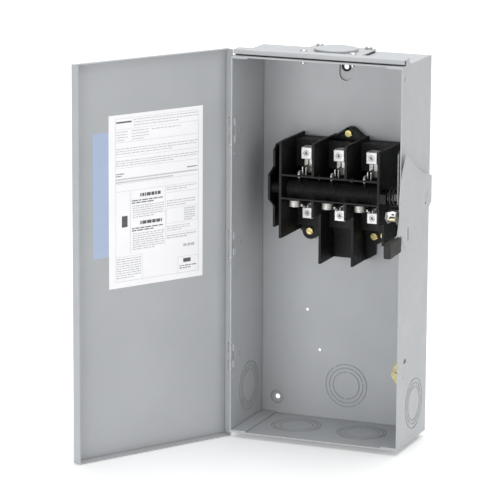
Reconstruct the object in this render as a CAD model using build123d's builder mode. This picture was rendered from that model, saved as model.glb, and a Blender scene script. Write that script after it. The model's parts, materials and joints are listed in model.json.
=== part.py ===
from build123d import *
import os

os.makedirs("parts", exist_ok=True)

# Wall-mounted three-pole safety switch, also called an AC disconnect box.
# Millimetres, +X to the right, -Y out of the wall towards the user, +Z up.
# The origin is the centre of the top hanging hole, on the wall plane.

# ---- enclosure ----
BOX_W = 228.0
BOX_H = 489.0
BOX_D = 109.0
SHEET = 1.6
FOOT = 2.5
HANG_H = 467.0
FLANGE = 22.0

LEFT = -BOX_W / 2
RIGHT = BOX_W / 2
FRONT = -(BOX_D + FOOT)
REAR = -FOOT
FLOOR = -HANG_H
CEILING = FLOOR + BOX_H


def across(distance):
    """X of a point this far to the right of the left wall's outer face."""
    return LEFT + distance


def depth(distance):
    """Y of a point this far behind the plane of the front rim."""
    return FRONT + distance


def height(distance):
    """Z of a point this far above the underside of the box."""
    return FLOOR + distance


def at(y, z):
    """A point for sketches in planes square to X, from a depth and a height."""
    return (depth(y), height(z))


WALL_IN = BOX_D - SHEET
HANG_HOLE_R = 3.5
EMBOSS_R = 10.5
EMBOSS_LOW = -9.3
EMBOSS_HIGH = 1.5
FOOT_HOLE_INSET = 23.0
FOOT_HOLE_H = 23.5
FOOT_HOLE_R = 3.3
SPARE_HOLE_R = 2.0
SPOT_R = 3.0
SPOT_DEPTH = 0.5

# Knockout diameters, outermost first.
SIDE_RINGS = (65.5, 54.5, 45.0)
BACK_RINGS = (58.0, 48.0, 37.5)
BOTTOM_RINGS = (65.5, 57.5, 45.0)
GROOVE_W = 1.5
GROOVE_DEPTH = 0.7
TIE_W = 3.0
BACK_KNOCKOUT = (120.0, 48.5)
SIDE_KNOCKOUT = (62.0, 47.5)
BOTTOM_KNOCKOUT_X = (69.0, 159.0)
BOTTOM_KNOCKOUT_D = 60.0

# ---- rain hood and hub closure on top ----
HOOD_FRONT = 5.5
HOOD_BACK = 25.5
HOOD_TOP = 7.6
HOOD_LIP = 5.6
HOOD_SHEET = 1.2
HOOD_FOOT = 6.0
HOOD_INSET = 0.6
HUB_D = 71.0
HUB_W = 85.0
HUB_L = 74.0
HUB_SCREW_X = 33.0
HUB_SCREW_Y = 29.0
HUB_HOLE_R = 26.0
HUB_DISC_R = 28.0
GASKET_T = 2.0
HUB_DISC_TOP = 7.2

# ---- door, hinged on the left wall ----
OPEN_ANGLE = 121.0
DOOR_SHEET = 1.5
DOOR_DEPTH = 13.2
DOOR_FACE = -2.0
DOOR_RIGHT_GAP = 3.7
DOOR_ABOVE = 7.0
DOOR_BELOW = 6.3
DOOR_TOP_RIM = 6.0
KNUCKLE_R = 2.8
PIN_R = 1.5
PIN_CLEARANCE = 0.05
HINGE_D = 9.3
HINGE_H = (98.5, 245.2, 391.9)
LEAF_T = 1.2
LEAF_END = 36.0
HINGE_SPAN = 33.0
MIDDLE_KNUCKLE = 12.0
HINGE_GAP = 0.4
SLOT_W = 6.6
LABEL_T = 0.15

# ---- switch moulding and its three poles ----
BARRIER_T = 3.0
BARRIER_X = (57.5, 101.4, 145.3, 189.2)
POLE_X = (79.5, 123.4, 167.3)
AXIS_D = 47.5
AXIS_H = 316.0
BARRIER_FRONT = 25.0
LEDGE_T = 2.0
LEDGE_LOW = 306.0
LEDGE_HIGH = 336.0
PLATE_D = 98.0
PLATE_TOP = 375.0
BARRIER_TOP = 380.0
EAR_RIM = 6.0
PLATFORM_TOP_D = 78.0
PLATFORM_LOW_D = 84.0
SIDE_PLATE_X = 37.5
DRUM_R = 12.0
CHEEK_D = 54.5
CHEEK_BUMP_D = 37.0
JOURNAL_R = 7.0
DRIVE_JOURNAL_R = 9.0
RUNNING = 0.05
BLADE_T = 2.5
BLADE_W = 11.0
BLADE_REACH = 28.5
BLADE_OFF_ANGLE = 115.0
JAW_IN = 1.6
JAW_T = 1.4
STRAP_D = 32.0
NOSE_R = 7.9
NOSE_SHIFT = 3.9
STRAP_LOW = 297.0
BASE_SCREW_R = 2.3
BASE_SCREWS = ((71.0, 252.0), (159.0, 252.0), (172.5, 254.0), (122.5, 383.0))
# Lugs: front depth, back depth, low height, high height.
LINE_LUG = (59.5, 76.0, 353.0, 368.0)
LOAD_LUG = (65.5, 82.0, 275.0, 289.0)
LINE_BORE_D = 70.0
LOAD_BORE_D = 76.0
LUG_W = 13.5
LUG_BORE_R = 4.9
LUG_SCREW_R = 4.0
LUG_SCREW_L = 4.8
LUG_SCREW_SUNK = 0.6
SOCKET_R = 2.3

# ---- side handle and drive ----
HANDLE_GAP = 5.2
HANDLE_SHEET = 1.6
DISH_R = 36.0
DISH_DEPTH = 1.1
HANDLE_R = 68.5
SHAFT_R = 6.0
BUSHING_R = 9.0
SQUARE = 8.4
GRIP_T = 9.0
GRIP_INSIDE = 3.0
GRIP_BACK = -27.0
GRIP_LEVEL = 272.0
GRIP_L = 41.0
GRIP_H = 19.5
GRIP_TILT = 2.0
SPRING_R = 11.0
SPRING_WIRE_R = 1.6
SPRING_START = 199.0
SPRING_PITCH = 4.6
SPRING_TURNS = 2

# ---- door interlock and earth bracket ----
PIVOT = (20.0, 296.0)
PIVOT_R = 2.5
LEVER_SHEET = 1.5
SMALL_SPRING_R = 3.4
SMALL_WIRE_R = 0.4
SMALL_PITCH = 1.3
SMALL_TURNS = 5
SMALL_START = 209.5
EARTH_SHEET = 1.5
EARTH_SCREW = (21.0, 90.0)
EARTH_CLAMPS = ((9.4, 94.5), (5.6, 107.0))
ROLLER_R = 3.2
ROLLER = (13.0, 295.0)
AXLE_R = 1.2
SMALL_SCREW_R = 2.4


def save(builder, name):
    """Label a finished piece and write it as one STEP file."""
    builder.part.label = name
    export_step(builder.part, f"parts/{name}.step")


def block(x0, x1, y0, y1, z0, z1, mode=Mode.ADD):
    """Box between two corners of the active frame."""
    with Locations(((x0 + x1) / 2, (y0 + y1) / 2, (z0 + z1) / 2)):
        Box(abs(x1 - x0), abs(y1 - y0), abs(z1 - z0), mode=mode)


def rod_x(x0, x1, y, z, radius, mode=Mode.ADD):
    with Locations(Location(((x0 + x1) / 2, y, z), (0, 90, 0))):
        Cylinder(radius, abs(x1 - x0), mode=mode)


def rod_y(x, y0, y1, z, radius, mode=Mode.ADD):
    with Locations(Location((x, (y0 + y1) / 2, z), (90, 0, 0))):
        Cylinder(radius, abs(y1 - y0), mode=mode)


def rod_z(x, y, z0, z1, radius, mode=Mode.ADD):
    with Locations((x, y, (z0 + z1) / 2)):
        Cylinder(radius, abs(z1 - z0), mode=mode)


def knockout(face_plane, diameters):
    """Part-punched rings, each left tied to the sheet at two places."""
    for index, diameter in enumerate(diameters):
        with BuildSketch(face_plane) as ring:
            Circle(diameter / 2)
            Circle(diameter / 2 - GROOVE_W, mode=Mode.SUBTRACT)
            Rectangle(diameter + 2, TIE_W, rotation=35 + 70 * index, mode=Mode.SUBTRACT)
        extrude(ring.sketch, amount=-GROOVE_DEPTH, mode=Mode.SUBTRACT)


def foot_outline(radius):
    """Upright slot around the hanging hole and a disc around each foot hole."""
    with Locations((0, EMBOSS_LOW), (0, EMBOSS_HIGH)):
        Circle(radius)
    with Locations((0, (EMBOSS_LOW + EMBOSS_HIGH) / 2)):
        Rectangle(2 * radius, EMBOSS_HIGH - EMBOSS_LOW)
    with Locations((across(FOOT_HOLE_INSET), height(FOOT_HOLE_H)),
                   (across(BOX_W - FOOT_HOLE_INSET), height(FOOT_HOLE_H))):
        Circle(radius)


# ======================================================================
# Enclosure
# ======================================================================

back_inside = depth(WALL_IN)
shell_low = FLOOR + SHEET
shell_high = CEILING - SHEET

with BuildPart() as back_panel:
    block(LEFT + SHEET, RIGHT - SHEET, back_inside, REAR, shell_low, shell_high)
    # Embossed feet that stand the back off the wall.
    with BuildSketch(Plane.XZ.offset(-REAR)):
        foot_outline(EMBOSS_R)
    extrude(amount=-FOOT)
    with BuildSketch(Plane.XZ.offset(-back_inside)):
        foot_outline(EMBOSS_R - SHEET)
    extrude(amount=-FOOT, mode=Mode.SUBTRACT)
    rod_y(0, FRONT + 90, 1, 0, HANG_HOLE_R, mode=Mode.SUBTRACT)
    for inset in (FOOT_HOLE_INSET, BOX_W - FOOT_HOLE_INSET):
        rod_y(across(inset), FRONT + 90, 1, height(FOOT_HOLE_H), FOOT_HOLE_R, mode=Mode.SUBTRACT)
    for spare_x, spare_h in ((64.5, 145.0), (82.0, 92.5)):
        rod_y(across(spare_x), FRONT + 90, 1, height(spare_h), SPARE_HOLE_R, mode=Mode.SUBTRACT)
    # Tapped holes for the switch moulding's screws.
    for screw_x, screw_h in BASE_SCREWS:
        rod_y(across(screw_x), FRONT + 90, 1, height(screw_h), BASE_SCREW_R, mode=Mode.SUBTRACT)
    ring_x = across(BACK_KNOCKOUT[0])
    ring_z = height(BACK_KNOCKOUT[1])
    knockout(Plane((ring_x, back_inside, ring_z), z_dir=(0, -1, 0)), BACK_RINGS)
    knockout(Plane((ring_x, REAR, ring_z), z_dir=(0, 1, 0)), BACK_RINGS[:1])
save(back_panel, "back_panel")

side_y = depth(SIDE_KNOCKOUT[0])
side_z = height(SIDE_KNOCKOUT[1])

with BuildPart() as left_side_wall:
    block(LEFT, LEFT + SHEET, FRONT, REAR, shell_low, shell_high)
    # Slots that clear the hinge barrels.
    for hinge_h in HINGE_H:
        slot_low = height(hinge_h - HINGE_SPAN / 2)
        slot_high = height(hinge_h + HINGE_SPAN / 2)
        slot_y = depth(HINGE_D)
        block(LEFT - 1, LEFT + SHEET + 1, slot_y - SLOT_W / 2, slot_y + SLOT_W / 2,
              slot_low, slot_high, mode=Mode.SUBTRACT)
        rod_x(LEFT + SHEET - SPOT_DEPTH, LEFT + SHEET + 1, depth(28.5), height(hinge_h),
              SPOT_R, mode=Mode.SUBTRACT)
        rod_x(LEFT - 1, LEFT + SHEET + 1, depth(7.5), height(hinge_h - 29),
              SPARE_HOLE_R, mode=Mode.SUBTRACT)
    knockout(Plane((LEFT + SHEET, side_y, side_z), z_dir=(1, 0, 0)), SIDE_RINGS)
    knockout(Plane((LEFT, side_y, side_z), z_dir=(-1, 0, 0)), SIDE_RINGS[:2])
save(left_side_wall, "left_side_wall")

with BuildPart() as right_side_wall:
    block(RIGHT - SHEET, RIGHT, FRONT, REAR, shell_low, shell_high)
    # Bearing hole, earth bracket slot and screw hole, lever pin hole.
    rod_x(RIGHT - SHEET - 1, RIGHT + 1, depth(AXIS_D), height(AXIS_H), BUSHING_R,
          mode=Mode.SUBTRACT)
    block(RIGHT - SHEET - 1, RIGHT + 1, depth(20), depth(29), height(108.5), height(113.5),
          mode=Mode.SUBTRACT)
    rod_x(RIGHT - SHEET - 1, RIGHT + 1, depth(EARTH_SCREW[0]), height(EARTH_SCREW[1]),
          SMALL_SCREW_R, mode=Mode.SUBTRACT)
    rod_x(RIGHT - SHEET - 1, RIGHT + 1, depth(PIVOT[0]), height(PIVOT[1]),
          PIVOT_R, mode=Mode.SUBTRACT)
    rod_x(RIGHT - SPOT_DEPTH, RIGHT + 1, depth(8), height(473), SPOT_R, mode=Mode.SUBTRACT)
    knockout(Plane((RIGHT - SHEET, side_y, side_z), z_dir=(-1, 0, 0)), SIDE_RINGS[:1])
    knockout(Plane((RIGHT, side_y, side_z), z_dir=(1, 0, 0)), SIDE_RINGS)
save(right_side_wall, "right_side_wall")

# Tabs folded from the side walls and welded to the end walls.
with BuildPart() as weld_tabs:
    for tab_left in (LEFT + SHEET, RIGHT - FLANGE):
        for level in (shell_low, shell_high - SHEET):
            block(tab_left, tab_left + FLANGE - SHEET, FRONT, back_inside, level, level + SHEET)
save(weld_tabs, "weld_tabs")

hub_x = across(BOX_W / 2)
hub_y = depth(HUB_D)
hub_screws_at = [(hub_x + sx * HUB_SCREW_X, hub_y + sy * HUB_SCREW_Y)
                 for sx in (-1, 1) for sy in (-1, 1)]

with BuildPart() as top_end_wall:
    block(LEFT, RIGHT, FRONT, REAR, CEILING - SHEET, CEILING)
    rod_z(hub_x, hub_y, CEILING - 3, CEILING + 1, HUB_HOLE_R, mode=Mode.SUBTRACT)
    for screw_x, screw_y in hub_screws_at:
        rod_z(screw_x, screw_y, CEILING - 3, CEILING + 1, 2.4, mode=Mode.SUBTRACT)
save(top_end_wall, "top_end_wall")

with BuildPart() as bottom_end_wall:
    block(LEFT, RIGHT, FRONT, REAR, FLOOR, FLOOR + SHEET)
    for ring_across in BOTTOM_KNOCKOUT_X:
        centre = (across(ring_across), depth(BOTTOM_KNOCKOUT_D))
        knockout(Plane((centre[0], centre[1], FLOOR + SHEET), z_dir=(0, 0, 1)),
                 BOTTOM_RINGS)
        knockout(Plane((centre[0], centre[1], FLOOR), z_dir=(0, 0, -1)), BOTTOM_RINGS[:1])
    rod_z(across(117), depth(95), FLOOR - 1, FLOOR + 3, 2.5, mode=Mode.SUBTRACT)
save(bottom_end_wall, "bottom_end_wall")

with BuildPart() as rain_hood:
    hood_left = LEFT + HOOD_INSET
    hood_y0 = depth(HOOD_FRONT)
    hood_y1 = depth(HOOD_BACK)
    hood_z = CEILING + HOOD_TOP
    block(hood_left, RIGHT, hood_y0, hood_y1, hood_z - HOOD_SHEET, hood_z)
    block(hood_left, RIGHT, hood_y0, hood_y0 + HOOD_SHEET, hood_z - HOOD_LIP, hood_z)
    block(hood_left, RIGHT, hood_y1 - HOOD_SHEET, hood_y1, CEILING, hood_z)
    block(hood_left, RIGHT, hood_y1 - HOOD_SHEET, hood_y1 + HOOD_FOOT, CEILING,
          CEILING + HOOD_SHEET)
    for end_x in (hood_left, RIGHT - HOOD_SHEET):
        block(end_x, end_x + HOOD_SHEET, depth(13), hood_y1, CEILING, hood_z)
    fillet(rain_hood.edges().filter_by(Axis.X).sort_by(Axis.Z)[-2:], 1.0)
save(rain_hood, "rain_hood")

with BuildPart() as hub_gasket:
    with BuildSketch(Plane.XY.offset(CEILING)):
        with Locations((hub_x, hub_y)):
            RectangleRounded(HUB_W - 2, HUB_L - 2, 8)
            Circle(HUB_HOLE_R, mode=Mode.SUBTRACT)
        with Locations(*hub_screws_at):
            Circle(2.6, mode=Mode.SUBTRACT)
    extrude(amount=GASKET_T)
save(hub_gasket, "hub_gasket")

with BuildPart() as hub_closure_plate:
    plate_z = CEILING + GASKET_T
    with BuildSketch(Plane.XY.offset(plate_z)):
        with Locations((hub_x, hub_y)):
            RectangleRounded(HUB_W, HUB_L, 8)
    extrude(amount=SHEET)
    rod_z(hub_x, hub_y, plate_z, CEILING + HUB_DISC_TOP, HUB_DISC_R)
    fillet(hub_closure_plate.edges().filter_by(GeomType.CIRCLE).sort_by(Axis.Z)[-1], 1.5)
    rod_z(hub_x, hub_y, plate_z, CEILING + HUB_DISC_TOP - SHEET, HUB_HOLE_R - 0.5,
          mode=Mode.SUBTRACT)
    for screw_x, screw_y in hub_screws_at:
        rod_z(screw_x, screw_y, plate_z - 1, plate_z + 3, 2.6, mode=Mode.SUBTRACT)
save(hub_closure_plate, "hub_closure_plate")

head_z = CEILING + GASKET_T + SHEET
with BuildPart() as hub_screws:
    for screw_x, screw_y in hub_screws_at:
        rod_z(screw_x, screw_y, head_z, head_z + 3.2, 4.6)
        rod_z(screw_x, screw_y, CEILING - 11, head_z, 2.4)
    chamfer(hub_screws.edges().filter_by(GeomType.CIRCLE).group_by(Axis.Z)[-1], 0.9)
    for screw_x, screw_y in hub_screws_at:
        with Locations(Location((screw_x, screw_y, head_z + 3), (0, 0, 30))):
            Box(10, 1.2, 1.6, mode=Mode.SUBTRACT)
save(hub_screws, "hub_screws")

with BuildPart() as hanging_grommet:
    recess_y = back_inside + FOOT
    rod_y(0, recess_y - 2.2, recess_y, 0, 6.2)
    rod_y(0, recess_y - 3, recess_y + 1, 0, HANG_HOLE_R + 0.2, mode=Mode.SUBTRACT)
    fillet(hanging_grommet.edges().filter_by(GeomType.CIRCLE).group_by(Axis.Y)[0], 0.7)
save(hanging_grommet, "hanging_grommet")

# ======================================================================
# Hinges and door
# ======================================================================

hinge_x = LEFT - KNUCKLE_R
hinge_y = depth(HINGE_D)

with BuildPart() as hinge_leaves:
    for hinge_h in HINGE_H:
        low = height(hinge_h - HINGE_SPAN / 2)
        high = height(hinge_h + HINGE_SPAN / 2)
        middle = height(hinge_h)
        gap_low = middle - MIDDLE_KNUCKLE / 2 - HINGE_GAP
        gap_high = middle + MIDDLE_KNUCKLE / 2 + HINGE_GAP
        block(LEFT - LEAF_T, LEFT, hinge_y, depth(LEAF_END), low, high)
        rod_z(hinge_x, hinge_y, low, high, KNUCKLE_R)
        block(hinge_x - 4, LEFT + 1, hinge_y - 4, hinge_y + KNUCKLE_R + 0.6, gap_low, gap_high,
              mode=Mode.SUBTRACT)
        rod_z(hinge_x, hinge_y, low - 1, high + 1, PIN_R, mode=Mode.SUBTRACT)
save(hinge_leaves, "hinge_leaves")

with BuildPart() as hinge_pins:
    for hinge_h in HINGE_H:
        low = height(hinge_h - HINGE_SPAN / 2)
        high = height(hinge_h + HINGE_SPAN / 2)
        rod_z(hinge_x, hinge_y, low - 0.6, high + 0.2, PIN_R)
        rod_z(hinge_x, hinge_y, high, high + 1.2, PIN_R + 0.7)
save(hinge_pins, "hinge_pins")

# The door is drawn in the frame of its own panel: +X from the hinge line to
# the free edge, +Y from the panel towards the box when shut, +Z up.
door_frame = Plane(origin=(hinge_x, hinge_y, 0), z_dir=(0, 0, 1)).rotated((0, 0, -OPEN_ANGLE))
DOOR_W = BOX_W + KNUCKLE_R + DOOR_RIGHT_GAP
panel_y = DOOR_FACE - HINGE_D
panel_in = panel_y + DOOR_SHEET
rim_y = panel_y + DOOR_DEPTH
door_low = FLOOR - DOOR_BELOW
door_high = CEILING + DOOR_ABOVE

with BuildPart(door_frame) as door_pan:
    block(0, DOOR_W, panel_y, rim_y, door_low, door_high)
    block(DOOR_SHEET, DOOR_W - DOOR_SHEET, panel_in, rim_y + 1, door_low + DOOR_SHEET,
          door_high - DOOR_SHEET, mode=Mode.SUBTRACT)
    # The top rim stops short of the hood.
    block(DOOR_SHEET, DOOR_W - DOOR_SHEET, panel_y + DOOR_TOP_RIM, rim_y + 1,
          door_high - DOOR_SHEET - 1, door_high + 1, mode=Mode.SUBTRACT)
    for hinge_h in HINGE_H:
        low = height(hinge_h - HINGE_SPAN / 2)
        high = height(hinge_h + HINGE_SPAN / 2)
        middle = height(hinge_h)
        block(-1, DOOR_SHEET + 1, -KNUCKLE_R - 0.7, rim_y + 1, low - 2.0, high + 2.0,
              mode=Mode.SUBTRACT)
        block(0, DOOR_SHEET, -KNUCKLE_R - 1, 0, middle - MIDDLE_KNUCKLE / 2,
              middle + MIDDLE_KNUCKLE / 2)
        rod_z(0, 0, middle - MIDDLE_KNUCKLE / 2, middle + MIDDLE_KNUCKLE / 2, KNUCKLE_R)
        rod_z(0, 0, low, high, PIN_R + PIN_CLEARANCE, mode=Mode.SUBTRACT)
save(door_pan, "door_pan")

with BuildPart(door_frame) as rating_label:
    block(139, 205.5, panel_in, panel_in + LABEL_T, height(249.5), height(407))
save(rating_label, "rating_label")

with BuildPart(door_frame) as instruction_label:
    block(38, 181.5, panel_in + LABEL_T, panel_in + 2 * LABEL_T, height(208), height(427))
save(instruction_label, "instruction_label")

# ======================================================================
# Switch moulding
# ======================================================================

axis_y = depth(AXIS_D)
axis_z = height(AXIS_H)
base_back = back_inside
bay_left = across(BARRIER_X[0])
bay_right = across(BARRIER_X[-1])


def barrier(x, front, back, low, high):
    block(across(x) - BARRIER_T / 2, across(x) + BARRIER_T / 2, depth(front), back,
          height(low), height(high))


with BuildPart() as switch_base:
    # Back plate and the two rows of lug platforms.
    block(bay_left, bay_right, depth(PLATE_D), base_back, height(252), height(PLATE_TOP))
    block(bay_left, bay_right, depth(PLATFORM_TOP_D), depth(PLATE_D), height(340),
          height(PLATE_TOP))
    block(bay_left, bay_right, depth(PLATFORM_LOW_D), depth(PLATE_D), height(262), height(301))
    # Phase barriers: the outer pair is deep, the inner pair steps back.
    barrier(BARRIER_X[0], BARRIER_FRONT, base_back, 255, BARRIER_TOP)
    for x in BARRIER_X[1:3]:
        barrier(x, BARRIER_FRONT, base_back, 285, BARRIER_TOP)
        barrier(x, 52, base_back, 220, 286)
    barrier(BARRIER_X[3], BARRIER_FRONT, base_back, 281, PLATE_TOP)
    barrier(BARRIER_X[3], 45, base_back, 252, 282)
    # Skirt between the lower inner barriers, with a clipped corner.
    with BuildSketch(Plane.XZ.offset(-base_back)):
        with BuildLine():
            Polyline((across(BARRIER_X[1]), height(220)), (across(148), height(220)),
                     (across(159), height(227)), (across(159), height(262)),
                     (across(BARRIER_X[1]), height(262)), close=True)
        make_face()
    extrude(amount=6)
    # Bearing cheek to the left of the first barrier, with a nose around the journal.
    with BuildSketch(Plane(origin=(across(SIDE_PLATE_X - 1.5), 0, 0), x_dir=(0, 1, 0),
                           z_dir=(1, 0, 0))):
        with BuildLine():
            Polyline(at(PLATE_D, 371), at(CHEEK_D + 10, 369), at(CHEEK_D, 362), at(CHEEK_D, 341),
                     at(CHEEK_BUMP_D, 333.5), at(CHEEK_BUMP_D, 302), at(CHEEK_D, 291),
                     at(CHEEK_D, 262.5), at(PLATE_D, 262.5), close=True)
        make_face()
    extrude(amount=3)
    block(across(SIDE_PLATE_X), bay_left, depth(PLATE_D), base_back, height(262.5), height(371))
    block(across(SIDE_PLATE_X), bay_left, depth(CHEEK_D + 10), depth(PLATE_D), height(368),
          height(370))
    # Ledges above and below the window for the moving bar.
    for ledge in (LEDGE_LOW, LEDGE_HIGH):
        block(bay_left, bay_right, depth(BARRIER_FRONT), depth(BARRIER_FRONT + 4),
              height(ledge), height(ledge + LEDGE_T))
    # Fixing ears: one above, three below.
    with BuildSketch(Plane.XZ.offset(-base_back)):
        with BuildLine():
            Polyline((across(101), height(373)), (across(146), height(373)),
                     (across(143), height(379)), (across(127), height(391)),
                     (across(121), height(391)), (across(103), height(379)), close=True)
        make_face()
        with Locations((across(71), height(252)), (across(159), height(252))):
            Circle(11)
        with Locations((across(172.5), height(254))):
            Circle(8)
    extrude(amount=base_back - depth(PLATE_D))
    # Raised rim along both slopes of the upper ear.
    for low_x, low_h, high_x, high_h in ((103, 379, 121, 391), (143, 379, 127, 391)):
        with BuildSketch(Plane.XZ.offset(-base_back)):
            with BuildLine():
                Polyline((across(low_x), height(low_h)), (across(high_x), height(high_h)),
                         (across(high_x), height(high_h - 3)), (across(low_x), height(low_h - 3)),
                         close=True)
            make_face()
        extrude(amount=base_back - depth(PLATE_D - EAR_RIM))
    # Anchor post for the operating spring.
    block(bay_right, across(199), depth(25.5), depth(31), height(310), height(322))
    block(bay_right, across(193), depth(25.5), depth(60), height(310), height(322))
    # Room for the drum, its journals and the moving blades.
    inner_left = bay_left + BARRIER_T / 2
    inner_right = bay_right - BARRIER_T / 2
    rod_x(inner_left, inner_right, axis_y, axis_z, DRUM_R + 1.5, mode=Mode.SUBTRACT)
    block(inner_left, inner_right, depth(20), axis_y, height(LEDGE_LOW + LEDGE_T),
          height(LEDGE_HIGH), mode=Mode.SUBTRACT)
    rod_x(across(30), bay_left + 3, axis_y, axis_z, JOURNAL_R + RUNNING, mode=Mode.SUBTRACT)
    rod_x(bay_right - 3, across(200), axis_y, axis_z, DRIVE_JOURNAL_R + RUNNING,
          mode=Mode.SUBTRACT)
    for screw_x, screw_h in BASE_SCREWS:
        rod_y(across(screw_x), depth(90), REAR, height(screw_h), 2.7, mode=Mode.SUBTRACT)
save(switch_base, "switch_base")

with BuildPart() as base_screws:
    for screw_x, screw_h in BASE_SCREWS:
        rod_y(across(screw_x), depth(PLATE_D - 3), depth(PLATE_D), height(screw_h), 5.0)
        rod_y(across(screw_x), depth(PLATE_D), REAR + 1, height(screw_h), BASE_SCREW_R)
    chamfer(base_screws.edges().filter_by(GeomType.CIRCLE).filter_by(
        lambda edge: edge.radius > 4).group_by(Axis.Y)[0], 0.8)
    for screw_x, screw_h in BASE_SCREWS:
        with Locations(Location((across(screw_x), depth(PLATE_D - 3), height(screw_h)),
                                (0, 25, 0))):
            Box(11, 2.4, 1.3, mode=Mode.SUBTRACT)
save(base_screws, "base_screws")

# ======================================================================
# Moving contacts
# ======================================================================

drum_left = across(62)
drum_right = across(184.5)

with BuildPart() as moving_blades:
    for pole_x in POLE_X:
        with BuildSketch(Plane(origin=(across(pole_x) - BLADE_T / 2, axis_y, axis_z),
                               x_dir=(0, 1, 0), z_dir=(1, 0, 0))):
            SlotOverall(2 * BLADE_REACH, BLADE_W, rotation=BLADE_OFF_ANGLE)
        extrude(amount=BLADE_T)
save(moving_blades, "moving_blades")

with BuildPart() as rotor_bar:
    rod_x(drum_left, drum_right, axis_y, axis_z, DRUM_R)
    for pole_x in POLE_X:
        rod_x(across(pole_x) - 5, across(pole_x) + 5, axis_y, axis_z, DRUM_R + 1)
    rod_x(across(SIDE_PLATE_X - 2), drum_left, axis_y, axis_z, JOURNAL_R)
    rod_x(drum_right, across(194), axis_y, axis_z, DRIVE_JOURNAL_R)
    block(across(172), across(200), axis_y - SQUARE / 2 - RUNNING, axis_y + SQUARE / 2 + RUNNING,
          axis_z - SQUARE / 2 - RUNNING, axis_z + SQUARE / 2 + RUNNING, mode=Mode.SUBTRACT)
    for pole_x in POLE_X:
        with BuildSketch(Plane(origin=(across(pole_x) - BLADE_T / 2, axis_y, axis_z),
                               x_dir=(0, 1, 0), z_dir=(1, 0, 0))):
            SlotOverall(2 * BLADE_REACH, BLADE_W, rotation=BLADE_OFF_ANGLE)
        extrude(amount=BLADE_T, mode=Mode.SUBTRACT)
save(rotor_bar, "rotor_bar")

# ======================================================================
# Fixed contacts, lugs and their screws
# ======================================================================

with BuildPart() as line_contacts:
    for pole_x in POLE_X:
        x = across(pole_x)
        block(x - 6, x + 6, depth(76), depth(PLATFORM_TOP_D), height(340), height(368))
        block(x - JAW_IN - JAW_T, x + JAW_IN + JAW_T, depth(73), depth(76), height(340),
              height(352))
        for side in (-1, 1):
            jaw_x = x + side * (JAW_IN + JAW_T / 2)
            block(jaw_x - JAW_T / 2, jaw_x + JAW_T / 2, depth(52), depth(76),
                  height(334), height(344))
        # Wide strap on the right and narrow one on the left, down from the lug.
        block(x + JAW_IN, x + 7, depth(66), depth(76), height(335), height(352))
        block(x - 6.4, x - JAW_IN, depth(70), depth(76), height(341), height(352))
save(line_contacts, "line_contacts")

with BuildPart() as load_contacts:
    for pole_x in POLE_X:
        x = across(pole_x)
        # Plate behind the lug, strap forward over it, and two stays down to the lug.
        block(x - 6, x + 6, depth(PLATFORM_LOW_D - 2), depth(PLATFORM_LOW_D), height(LOAD_LUG[2]),
              height(STRAP_LOW + 3))
        block(x - 11, x + 6, depth(STRAP_D), depth(PLATFORM_LOW_D), height(STRAP_LOW),
              height(STRAP_LOW + 3))
        for stay_x in (x - 5.4, x - 1.2):
            block(stay_x, stay_x + 1.7, depth(66.5), depth(69), height(LOAD_LUG[3]),
                  height(STRAP_LOW))
        # Round nose around the blade slot, with a closed front.
        rod_z(x - NOSE_SHIFT, depth(STRAP_D), height(STRAP_LOW), height(STRAP_LOW + 8), NOSE_R)
        block(x - JAW_IN, x + JAW_IN, depth(STRAP_D - NOSE_R + 2), depth(65.5),
              height(STRAP_LOW - 1), height(STRAP_LOW + 9), mode=Mode.SUBTRACT)
save(load_contacts, "load_contacts")


def lug(x, front, back, low, high):
    """Box lug: a vertical wire hole and a clamping screw from the front."""
    block(x - LUG_W / 2, x + LUG_W / 2, depth(front), depth(back), height(low), height(high))


def lug_row(front, back, low, high, bore_d):
    middle = (low + high) / 2
    for pole_x in POLE_X:
        lug(across(pole_x), front, back, low, high)
    for pole_x in POLE_X:
        rod_z(across(pole_x), depth(bore_d), height(low - 1), height(high + 1), LUG_BORE_R,
              mode=Mode.SUBTRACT)
        rod_y(across(pole_x), depth(front - 1), depth(bore_d), height(middle), LUG_SCREW_R,
              mode=Mode.SUBTRACT)


def lug_screw_row(front, low, high):
    middle = height((low + high) / 2)
    for pole_x in POLE_X:
        head = front + LUG_SCREW_SUNK
        rod_y(across(pole_x), depth(head), depth(head + LUG_SCREW_L), middle, LUG_SCREW_R)
        with BuildSketch(Plane((across(pole_x), depth(head), middle), z_dir=(0, -1, 0))) as key:
            RegularPolygon(SOCKET_R, 6)
        extrude(key.sketch, amount=-3, mode=Mode.SUBTRACT)


with BuildPart() as line_lugs:
    lug_row(*LINE_LUG, LINE_BORE_D)
    chamfer(line_lugs.edges().filter_by(Axis.X).group_by(Axis.Y)[0], 0.6)
save(line_lugs, "line_lugs")

with BuildPart() as load_lugs:
    lug_row(*LOAD_LUG, LOAD_BORE_D)
    chamfer(load_lugs.edges().filter_by(Axis.X).group_by(Axis.Y)[0], 0.6)
save(load_lugs, "load_lugs")

with BuildPart() as line_lug_screws:
    lug_screw_row(LINE_LUG[0], LINE_LUG[2], LINE_LUG[3])
save(line_lug_screws, "line_lug_screws")

with BuildPart() as load_lug_screws:
    lug_screw_row(LOAD_LUG[0], LOAD_LUG[2], LOAD_LUG[3])
save(load_lug_screws, "load_lug_screws")

# ======================================================================
# Operating drive and side handle
# ======================================================================

plate_in = RIGHT + HANDLE_GAP
plate_out = plate_in + HANDLE_SHEET

with BuildPart() as shaft_bushing:
    rod_x(RIGHT - SHEET - 1.6, RIGHT, axis_y, axis_z, BUSHING_R)
    rod_x(RIGHT - SHEET - 1.6, RIGHT - SHEET, axis_y, axis_z, 10.4)
    rod_x(RIGHT, RIGHT + 1.6, axis_y, axis_z, 12.0)
    rod_x(RIGHT - 10, RIGHT + 10, axis_y, axis_z, SHAFT_R + RUNNING, mode=Mode.SUBTRACT)
save(shaft_bushing, "shaft_bushing")

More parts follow.
